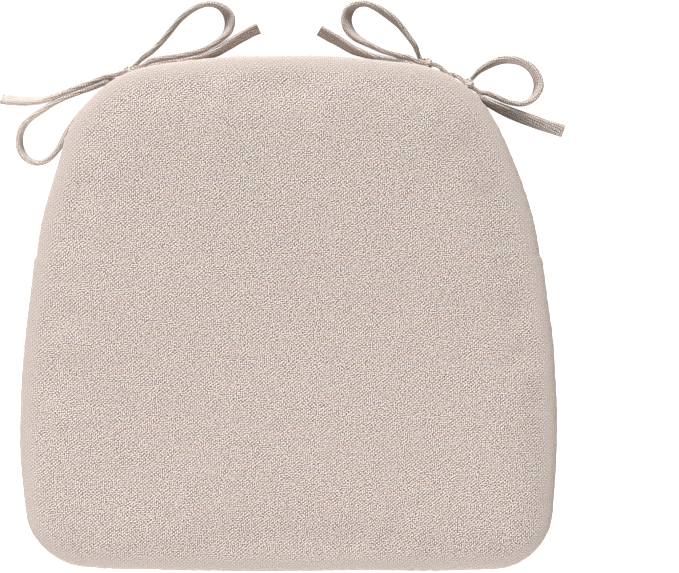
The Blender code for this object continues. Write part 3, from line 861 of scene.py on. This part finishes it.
def make_coil(name, side):
    """One half of a coil zip: a wire wound along the edge of its tape."""
    path = []
    for step in range(int(2 * ZIP_HALF / COIL_PITCH) * COIL_PER_TURN + 1):
        turn = step / COIL_PER_TURN
        angle = 2 * math.pi * turn + (0.0 if side > 0 else math.pi)
        path.append(back_point(turn * COIL_PITCH - ZIP_HALF, -0.00062 + 0.00042 * math.cos(angle),
                               ZIP_Z + side * (0.00136 + 0.00098 * math.sin(angle))))
    rows = tube_rows(path, COIL_WIRE, 6, (1, 0, 0))
    along = np.arange(len(path)) * 0.0007
    uvs = np.stack([np.tile(along[:, None], (1, 7)),
                    np.tile(np.arange(7) * 0.0003, (len(path), 1))], 2)
    return grid_piece(name, rows, uvs, coil_nylon, closed=True, cap_first=True, cap_last=True)


STITCH_SIDES = 6
STITCH_TAPER = np.array([0.5, 0.9, 1, 1, 1, 0.9, 0.5])
STITCH_ARCH = 0.0003
STITCH_SUNK = 0.00018


def stitch_piece(name, stitches, radius=0.00021):
    """Short threads that dip into the cloth at both ends, all in one piece."""
    points, faces, corners = [], [], []
    spans = len(STITCH_TAPER) - 1
    for start, end, out in stitches:
        start, end, out = Vector(start), Vector(end), Vector(out).normalized()
        path = [start.lerp(end, step / spans)
                + out * (STITCH_ARCH * math.sin(math.pi * step / spans) ** 0.6 - STITCH_SUNK)
                for step in range(spans + 1)]
        base = len(points)
        points += tube_rows(path, radius * STITCH_TAPER, STITCH_SIDES, out).reshape(-1, 3).tolist()
        length = (end - start).length
        for row in range(spans):
            for i in range(STITCH_SIDES):
                low = base + row * STITCH_SIDES
                j = (i + 1) % STITCH_SIDES
                faces.append((low + i, low + j, low + STITCH_SIDES + j, low + STITCH_SIDES + i))
                corners += [(length * r / spans, c * 0.0002)
                            for r, c in ((row, i), (row, i + 1), (row + 1, i + 1), (row + 1, i))]
    return mesh_piece(name, points, faces, sewing, corners)


def make_zip_stitching():
    """A row of stitches above and below the zip."""
    pitch, length, from_zip = 0.0031, 0.0025, 0.0062
    reach = TAPE_END - 0.0012
    begins = [-reach + step * pitch for step in range(int(2 * reach / pitch))]
    return stitch_piece("zip_stitching", [
        (back_point(begin, 0.00012, z), back_point(begin + length, 0.00012, z), (0, 1, 0))
        for z in (ZIP_Z - from_zip, ZIP_Z + from_zip) for begin in begins])


# ---- tie straps ----

PINCHED = 0.0052
LEVELS = {"full": (None, STRAP_WIDTH), "low": (0.0029, PINCHED), "mid": (0.0057, PINCHED),
          "high": (0.0085, PINCHED)}

# Strap routes from above, in millimetres, with the lean in degrees where a strap isn't upright
TIES = {
    "tie_left_a": [
        ("low", (-129.5, 193.5), (-128.5, 199), (-124, 205)),
        ("full", (-116, 209), (-107, 216, 3), (-98, 226, 5), (-88, 238, 6), (-76, 247, 5),
         (-64.5, 250.5, 6), (-54.5, 247.8, 22), (-48.4, 240.8, 46), (-48.2, 232, 40),
         (-53.8, 223.6, 16), (-68, 214.5, 6), (-84, 209.5), (-100, 207), (-110.5, 205)),
        ("high", (-120.5, 202), (-130.5, 198.5), (-140.5, 195.5)),
        ("full", (-149.5, 191.5), (-158, 188), (-168, 184.5), (-180, 180), (-191, 176, 10),
         (-201, 173, 20), (-213, 172, 28), (-223, 172.5, 34), (-234, 174, 38)),
    ],
    "tie_left_b": [
        ("low", (-135, 191), (-141, 191)),
        ("full", (-148.5, 187.7), (-157.5, 183.8), (-168.4, 179.9), (-180.4, 175.4),
         (-191, 170.4, -2), (-201, 164, -4), (-210, 158, -6), (-216.5, 151, -8),
         (-219.5, 143, -10), (-219.5, 135, -12), (-216, 127.5, -10), (-209, 122.5, -8),
         (-200.5, 122.8, -8), (-193.3, 127.6, -10), (-187.3, 135.4, -16), (-182.8, 143.4, -20),
         (-178, 151.4, -12), (-171.2, 160), (-163, 168.5), (-154, 176.5), (-146, 183.5)),
        ("high", (-139.5, 188), (-128.5, 194), (-119, 198)),
        ("full", (-109.5, 201), (-95.5, 203.5), (-85.5, 205), (-74, 207, 8), (-66, 209, 18),
         (-58, 212, 26), (-48, 218, 34), (-39, 223.5, 42), (-31, 228, 48), (-24, 231, 50)),
    ],
    "tie_right_a": [
        ("low", (109.5, 201), (109, 205.5), (107, 211)),
        ("full", (102.5, 218, -3), (96.5, 226, -6), (90, 234, -14), (82, 241, -20),
         (72, 247.4, -14), (63, 250.8, -8), (54.4, 249.6, -22), (48.6, 244.2, -46),
         (47.2, 236.9, -48), (49.6, 229.6, -40), (55.4, 223.6, -26), (65, 218.5, -12),
         (77, 213, -4), (90, 209), (97, 207.8)),
        ("high", (106, 206), (115, 204.8), (123, 202.3), (130, 196.3), (136.5, 189.7),
         (144.5, 184.3), (150, 180)),
        ("full", (157, 174.5, 10), (166, 169.5, 26), (179, 163.5, 46), (192, 158.5, 58),
         (208, 153, 64), (226, 147.5, 68)),
    ],
    "tie_right_b": [
        ("low", (146.6, 183.6), (148.4, 188.4), (152, 193)),
        ("full", (157.6, 197.8, 14), (165.2, 202.2, 22), (173.6, 205.2, 24), (182.6, 205.6, 22),
         (191.6, 203.2, 20), (199.2, 197.8, 24), (203.6, 190.8, 30), (204.6, 183.4, 30),
         (201.8, 176.2, 16), (196.2, 171.4, 6), (189, 170, 4), (180, 171.5, 4), (171, 175),
         (163.5, 178.2)),
        ("high", (157, 181), (152.5, 184.2), (148.3, 187.4)),
        ("mid", (143.2, 191.2)),
        ("low", (137.5, 194.8), (129, 196.4), (123.5, 197.2)),
        ("mid", (118, 198.7)),
        ("high", (112, 200.3), (104, 202.2)),
        ("full", (95, 203.8), (87, 205), (79, 206.3), (69, 208, -8), (61, 210.5, -18),
         (53, 213.5, -28), (46, 217.5, -36), (39.5, 221.5, -42), (32, 225.5, -46),
         (25, 229.5, -48)),
    ],
}


def smooth_route(route, step=0.0016):
    """Rows of (x, y, level height, width, lean) along a curve through a route's points."""
    knots = []
    for level, *points in route:
        height, width = LEVELS[level]
        for x, y, *lean in points:
            angle = math.radians(lean[0]) if lean else 0.0
            standing = (width * math.cos(angle) + STRAP_THICKNESS * abs(math.sin(angle))) / 2
            centre = 0.0003 + standing if height is None else height
            knots.append(np.array([x / 1000, y / 1000, centre, width, angle]))
    knots = [2 * knots[0] - knots[1]] + knots + [2 * knots[-1] - knots[-2]]
    path = []
    for a, b, c, d in zip(knots, knots[1:], knots[2:], knots[3:]):
        steps = max(1, round(float(np.linalg.norm((c - b)[:2])) / step))
        for i in range(steps):
            t = i / steps
            row = (2 * b + (c - a) * t + (2 * a - 5 * b + 4 * c - d) * t ** 2
                   + (3 * b - a - 3 * c + d) * t ** 3) / 2
            row[2:4] = (b + (c - b) * ease(t))[2:4]
            path.append(row)
    path.append(knots[-2])
    return np.array(path)


SECTION_HEIGHTS = (-0.97, -0.88, -0.74, -0.62, -0.5, -0.3, -0.05, 0.2, 0.45, 0.68, 0.85, 0.95)


def strap_section():
    """Half-thickness and height of the folded strap, both from -1 to 1, going round."""
    right = []
    for height in SECTION_HEIGHTS:
        waist = 1 - 0.3 * math.exp(-((height + 0.62) / 0.1) ** 2) + 0.1 * height
        right.append(((1 - abs(height) ** 7) ** 0.5 * waist * 0.96, height))
    return [(0.0, -1.0)] + right + [(0.0, 1.0)] + [(-x, height) for x, height in reversed(right)]


SECTION = strap_section()
KNOT_PULL = 0.0021
STRAP_STITCH = 0.00017


def strap_stitches(steps, rows):
    """Stitches on both faces along a strap, near its lower fold."""
    pitch, length, margin = 0.0034, 0.0026, 0.004
    stitches = []
    place_on = margin
    while place_on + length < steps[-1] - margin:
        pair = []
        for where in (place_on, place_on + length):
            i = min(max(int(np.searchsorted(steps, where)), 1), len(steps) - 1)
            part = (where - steps[i - 1]) / (steps[i] - steps[i - 1])
            pair.append([row[i - 1] * (1 - part) + row[i] * part for row in rows])
        for face in (1, -1):
            start, end = [centre + across * face * thick[0] / 2 * 0.7 - tall * 0.62 * width[0] / 2
                          for centre, across, tall, width, thick in pair]
            stitches.append((start, end, Vector(pair[0][1]) * face))
        place_on += pitch
    return stitches


def make_strap(name, route, seed):
    """A folded strap on its route and its stitching, with its middle line and its length."""
    path = smooth_route(route)
    width, lean = path[:, 3], path[:, 4][:, None]
    ahead = np.gradient(path[:, :2], axis=0)
    ahead /= np.linalg.norm(ahead, axis=1)[:, None]
    side = np.stack([-ahead[:, 1], ahead[:, 0], np.zeros(len(path))], 1)
    up = np.array([0.0, 0.0, 1.0])
    across = np.cos(lean) * side - np.sin(lean) * up
    tall = np.cos(lean) * up + np.sin(lean) * side
    gathered = np.clip((STRAP_WIDTH - width) / (STRAP_WIDTH - PINCHED), 0, 1)
    centres = path[:, :3].copy()
    for centre, pull in zip(centres, gathered * KNOT_PULL):
        nearest = int(np.argmin(np.hypot(EDGE[:, 0] - centre[0], EDGE[:, 1] - centre[1])))
        centre[0] -= pull * math.cos(STATIONS[nearest, 3])
        centre[1] -= pull * math.sin(STATIONS[nearest, 3])
    steps = np.concatenate([[0.0], np.cumsum(np.linalg.norm(np.diff(centres, axis=0), axis=1))])
    thick = SOFT_THICKNESS * (1.0 - 0.12 * gathered)
    rings = np.array([centres + across * (half_thick * thick / 2)[:, None]
                      + tall * (height * width / 2)[:, None]
                      for half_thick, height in SECTION]).transpose(1, 0, 2)
    bend = np.abs(np.gradient(np.unwrap(np.arctan2(ahead[:, 1], ahead[:, 0]))) / np.gradient(steps))
    crumple = 0.0001 + 0.00022 * np.clip(bend / 60, 0, 1) + 0.00025 * gathered
    near_end = np.exp(-(steps[-1] - steps) / 0.006)
    outwards = rings - centres[:, None, :]
    outwards /= np.maximum(np.linalg.norm(outwards, axis=2), 1e-6)[:, :, None]
    rings += outwards * (smooth_noise(rings, 0.0065, seed) * crumple[:, None]
                         + 0.000175 * near_end[:, None])[:, :, None]
    rings[..., 2] = np.maximum(rings[..., 2], 0.0001)
    spots = np.linspace(0.0, 2 * (STRAP_WIDTH + STRAP_THICKNESS), len(SECTION) + 1)
    uvs = np.stack([np.tile(steps[:, None], (1, len(spots))),
                    np.tile(spots[None, :], (len(path), 1))], 2)
    piece = grid_piece(name, rings, uvs, tie_cloth, closed=True, cap_first=True, cap_last=True)
    stitches = strap_stitches(steps, (centres, across, tall, path[:, 3:4], thick[:, None]))
    return piece, stitch_piece(name + "_stitching", stitches, STRAP_STITCH), centres, steps[-1]


KNOT_AROUND = 40
KNOT_SECTION = 12
KNOT_HALF_ACROSS = 0.0042
KNOT_HALF_HEIGHT = 0.0049
KNOT_HALF_LENGTH = 0.0031


def rounded(value, power):
    return math.copysign(abs(value) ** power, value)


def make_knot(name, centre, degrees):
    """The strap's turn that binds the bow: a soft band wrapped round the strands."""
    angle = math.radians(degrees)
    seed = len(name)
    along = Vector((math.cos(angle), math.sin(angle), 0.0))
    across = Vector((-math.sin(angle), math.cos(angle), 0.0))
    up = Vector((0, 0, 1))
    rows, uvs = [], []
    for step in range(KNOT_AROUND + 1):
        turn = 2 * math.pi * step / KNOT_AROUND
        base = (Vector(centre) + across * KNOT_HALF_ACROSS * math.cos(turn)
                + up * KNOT_HALF_HEIGHT * math.sin(turn) + along * 0.0012 * math.sin(turn))
        out = across * math.cos(turn) + up * math.sin(turn)
        long = KNOT_HALF_LENGTH * (1 + 0.12 * math.sin(3 * turn + seed))
        rows.append([base + along * long * rounded(math.cos(a), 0.7)
                     + out * 0.0011 * rounded(math.sin(a), 0.8)
                     for a in (2 * math.pi * i / KNOT_SECTION for i in range(KNOT_SECTION))])
        uvs.append([(0.0008 * step, 0.0008 * i) for i in range(KNOT_SECTION + 1)])
    rows = np.array(rows, float)
    rows += 0.0003 * smooth_noise(rows, 0.005, seed)[..., None]
    rows[..., 2] = np.maximum(rows[..., 2], 0.0001)
    rows[-1] = rows[0]
    return grid_piece(name, rows, uvs, tie_cloth, closed=True)


# ---- build ----

WADDING = {
    "wadding_under_top": ("wadding_top", True, [
        (0.012, 0.0542), (0.0062, 0.0542), (0.0055, 0.0552), (0.0062, 0.0563), (0.009, 0.0574),
        (0.013, 0.0581), (0.02, 0.0583), (0.04, 0.0585), (0.07, 0.0585),
        (0.1, 0.0585)]),
    "wadding_over_bottom": ("wadding_bottom", False, [
        (0.04, 0.003), (0.0105, 0.003), (0.008, 0.004), (0.0068, 0.0055), (0.0064, 0.007),
        (0.04, 0.007)]),
}
KNOTS = (("knot_left", (-0.1292, 0.1958, 0.006), 22),
         ("knot_right_inner", (0.1132, 0.2022, 0.006), -10),
         ("knot_right_outer", (0.1464, 0.1853, 0.006), -40))
SHOWN_NODES = (("foam_core", foam), ("zipper_tape_upper", tape_cloth),
               ("zipper_tape_lower", tape_cloth), ("zipper_top_stop_upper", zinc),
               ("zipper_top_stop_lower", zinc), ("zipper_bottom_stop", zinc),
               ("zipper_slider", zinc), ("zipper_pull_tab", zinc))


def dress(piece, slot, node=None):
    """Put a piece on the cover, hiding the CAD node it stands for where one is named. slot is not
    used.
    """
    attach(piece, "cover")
    if node:
        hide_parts(node)


def main():
    top = make_cover_top()
    front = make_front_band()
    lower, upper = make_back_bands()
    under = make_underside()
    dots = make_grip_dots()
    for piece, node, slot in ((top, "top_panel", "cover_cloth"),
                              (front, "front_boxing", "cover_cloth"),
                              (lower, "rear_boxing_lower", "cover_cloth"),
                              (upper, "rear_boxing_upper", "cover_cloth"),
                              (under, "bottom_panel", "underside_cloth")):
        cloth = piece.modifiers.new("cloth", "SOLIDIFY")
        cloth.thickness = 0.0005
        cloth.offset = -1.0
        dress(piece, slot, node)
    dress(dots, "underside_cloth")
    for name, (node, crowned, levels) in WADDING.items():
        dress(make_wadding(name, levels, crowned), "wadding", node)
    for side, half in ((1, "upper"), (-1, "lower")):
        dress(make_coil("coil_" + half, side), "zip_nylon", "zipper_coil_" + half)
    dress(make_zip_stitching(), "cover_cloth")

    for index, (name, route) in enumerate(TIES.items()):
        strap, sewn, centres, total = make_strap(name + "_strap", route, 20 + index)
        dress(strap, "tie_cloth", name)
        dress(sewn, "tie_cloth")
        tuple(centres[0])
    for name, centre, degrees in KNOTS:
        dress(make_knot(name, centre, degrees), "tie_cloth")

    for node, material in SHOWN_NODES:
        shown = NODES[node]
        shown.data.materials.clear()
        shown.data.materials.append(material)
        if material is zinc:
            edge = shown.modifiers.new("edge", "BEVEL")
            edge.width = 0.00022
            edge.segments = 3
            edge.limit_method = "ANGLE"
            edge.angle_limit = math.radians(35)
    make_stage()


# ---- stage ----

FLOOR_REACH = 8.0
FLOOR_Z = -0.0002
SKY_LIGHT = 0.34
LIGHTS = (("back", (-0.55, 3.2, 1.05), (0, 0, 0), 1.2, 182),
          ("over", (-0.4, -2.1, 1.9), (0, -0.1, 0), 1.5, 86))
LENS = 93.3
CAMERA_PLACE = Vector((0.0087, 0.1629, 1.4527))
CAMERA_TARGET = Vector((0.0409, 0.0226, 0.035))


def make_floor():
    """A white floor that the camera sees as plain white, and that the cushion is lit by."""
    g = Graph("floor_white")
    tone = g.noise(g.place(), 3.0, 2.0)
    seen = g.node("ShaderNodeLightPath").outputs["Is Camera Ray"]
    g.shade(Base_Color=g.mix(tone, grey(0.88), grey(0.9)), Emission_Strength=seen,
            Roughness=0.9, Emission_Color=grey(1.0))
    mesh = bpy.data.meshes.new("floor")
    mesh.from_pydata([(x * FLOOR_REACH, y * FLOOR_REACH, FLOOR_Z)
                      for x, y in ((-1, -1), (1, -1), (1, 1), (-1, 1))], [], [(0, 1, 2, 3)])
    mesh.materials.append(g.material)
    floor = bpy.data.objects.new("floor", mesh)
    bpy.context.scene.collection.objects.link(floor)


def make_world():
    """White all round, dimmer as a light than it looks."""
    world = bpy.data.worlds.new("studio")
    world.use_nodes = True
    sky = world.node_tree
    sky.nodes["Background"].inputs["Color"].default_value = grey(1.0)
    seen = sky.nodes.new("ShaderNodeMapRange")
    seen.inputs[3].default_value = SKY_LIGHT
    seen.inputs[4].default_value = 1.0
    sky.links.new(sky.nodes.new("ShaderNodeLightPath").outputs["Is Camera Ray"], seen.inputs[0])
    sky.links.new(seen.outputs[0], sky.nodes["Background"].inputs["Strength"])
    bpy.context.scene.world = world


def make_stage():
    scene = bpy.context.scene
    make_floor()
    make_world()
    for name, place_at, target, size, watts in LIGHTS:
        data = bpy.data.lights.new(name, "AREA")
        data.shape = "DISK"
        data.size = size
        data.energy = watts
        light = bpy.data.objects.new(name, data)
        light.location = place_at
        facing = Vector(target) - light.location
        light.rotation_euler = facing.to_track_quat("-Z", "Y").to_euler()
        scene.collection.objects.link(light)

    scene.view_settings.view_transform = "Standard"
    data = bpy.data.cameras.new("camera")
    data.lens = LENS
    data.sensor_width = 36
    camera = bpy.data.objects.new("camera", data)
    camera.location = CAMERA_PLACE
    forward = (CAMERA_TARGET - CAMERA_PLACE).normalized()
    right = forward.cross(Vector((0, 1, 0))).normalized()
    over = right.cross(forward)
    camera.rotation_euler = Matrix((right, over, -forward)).transposed().to_euler()
    scene.collection.objects.link(camera)
    scene.camera = camera


main()
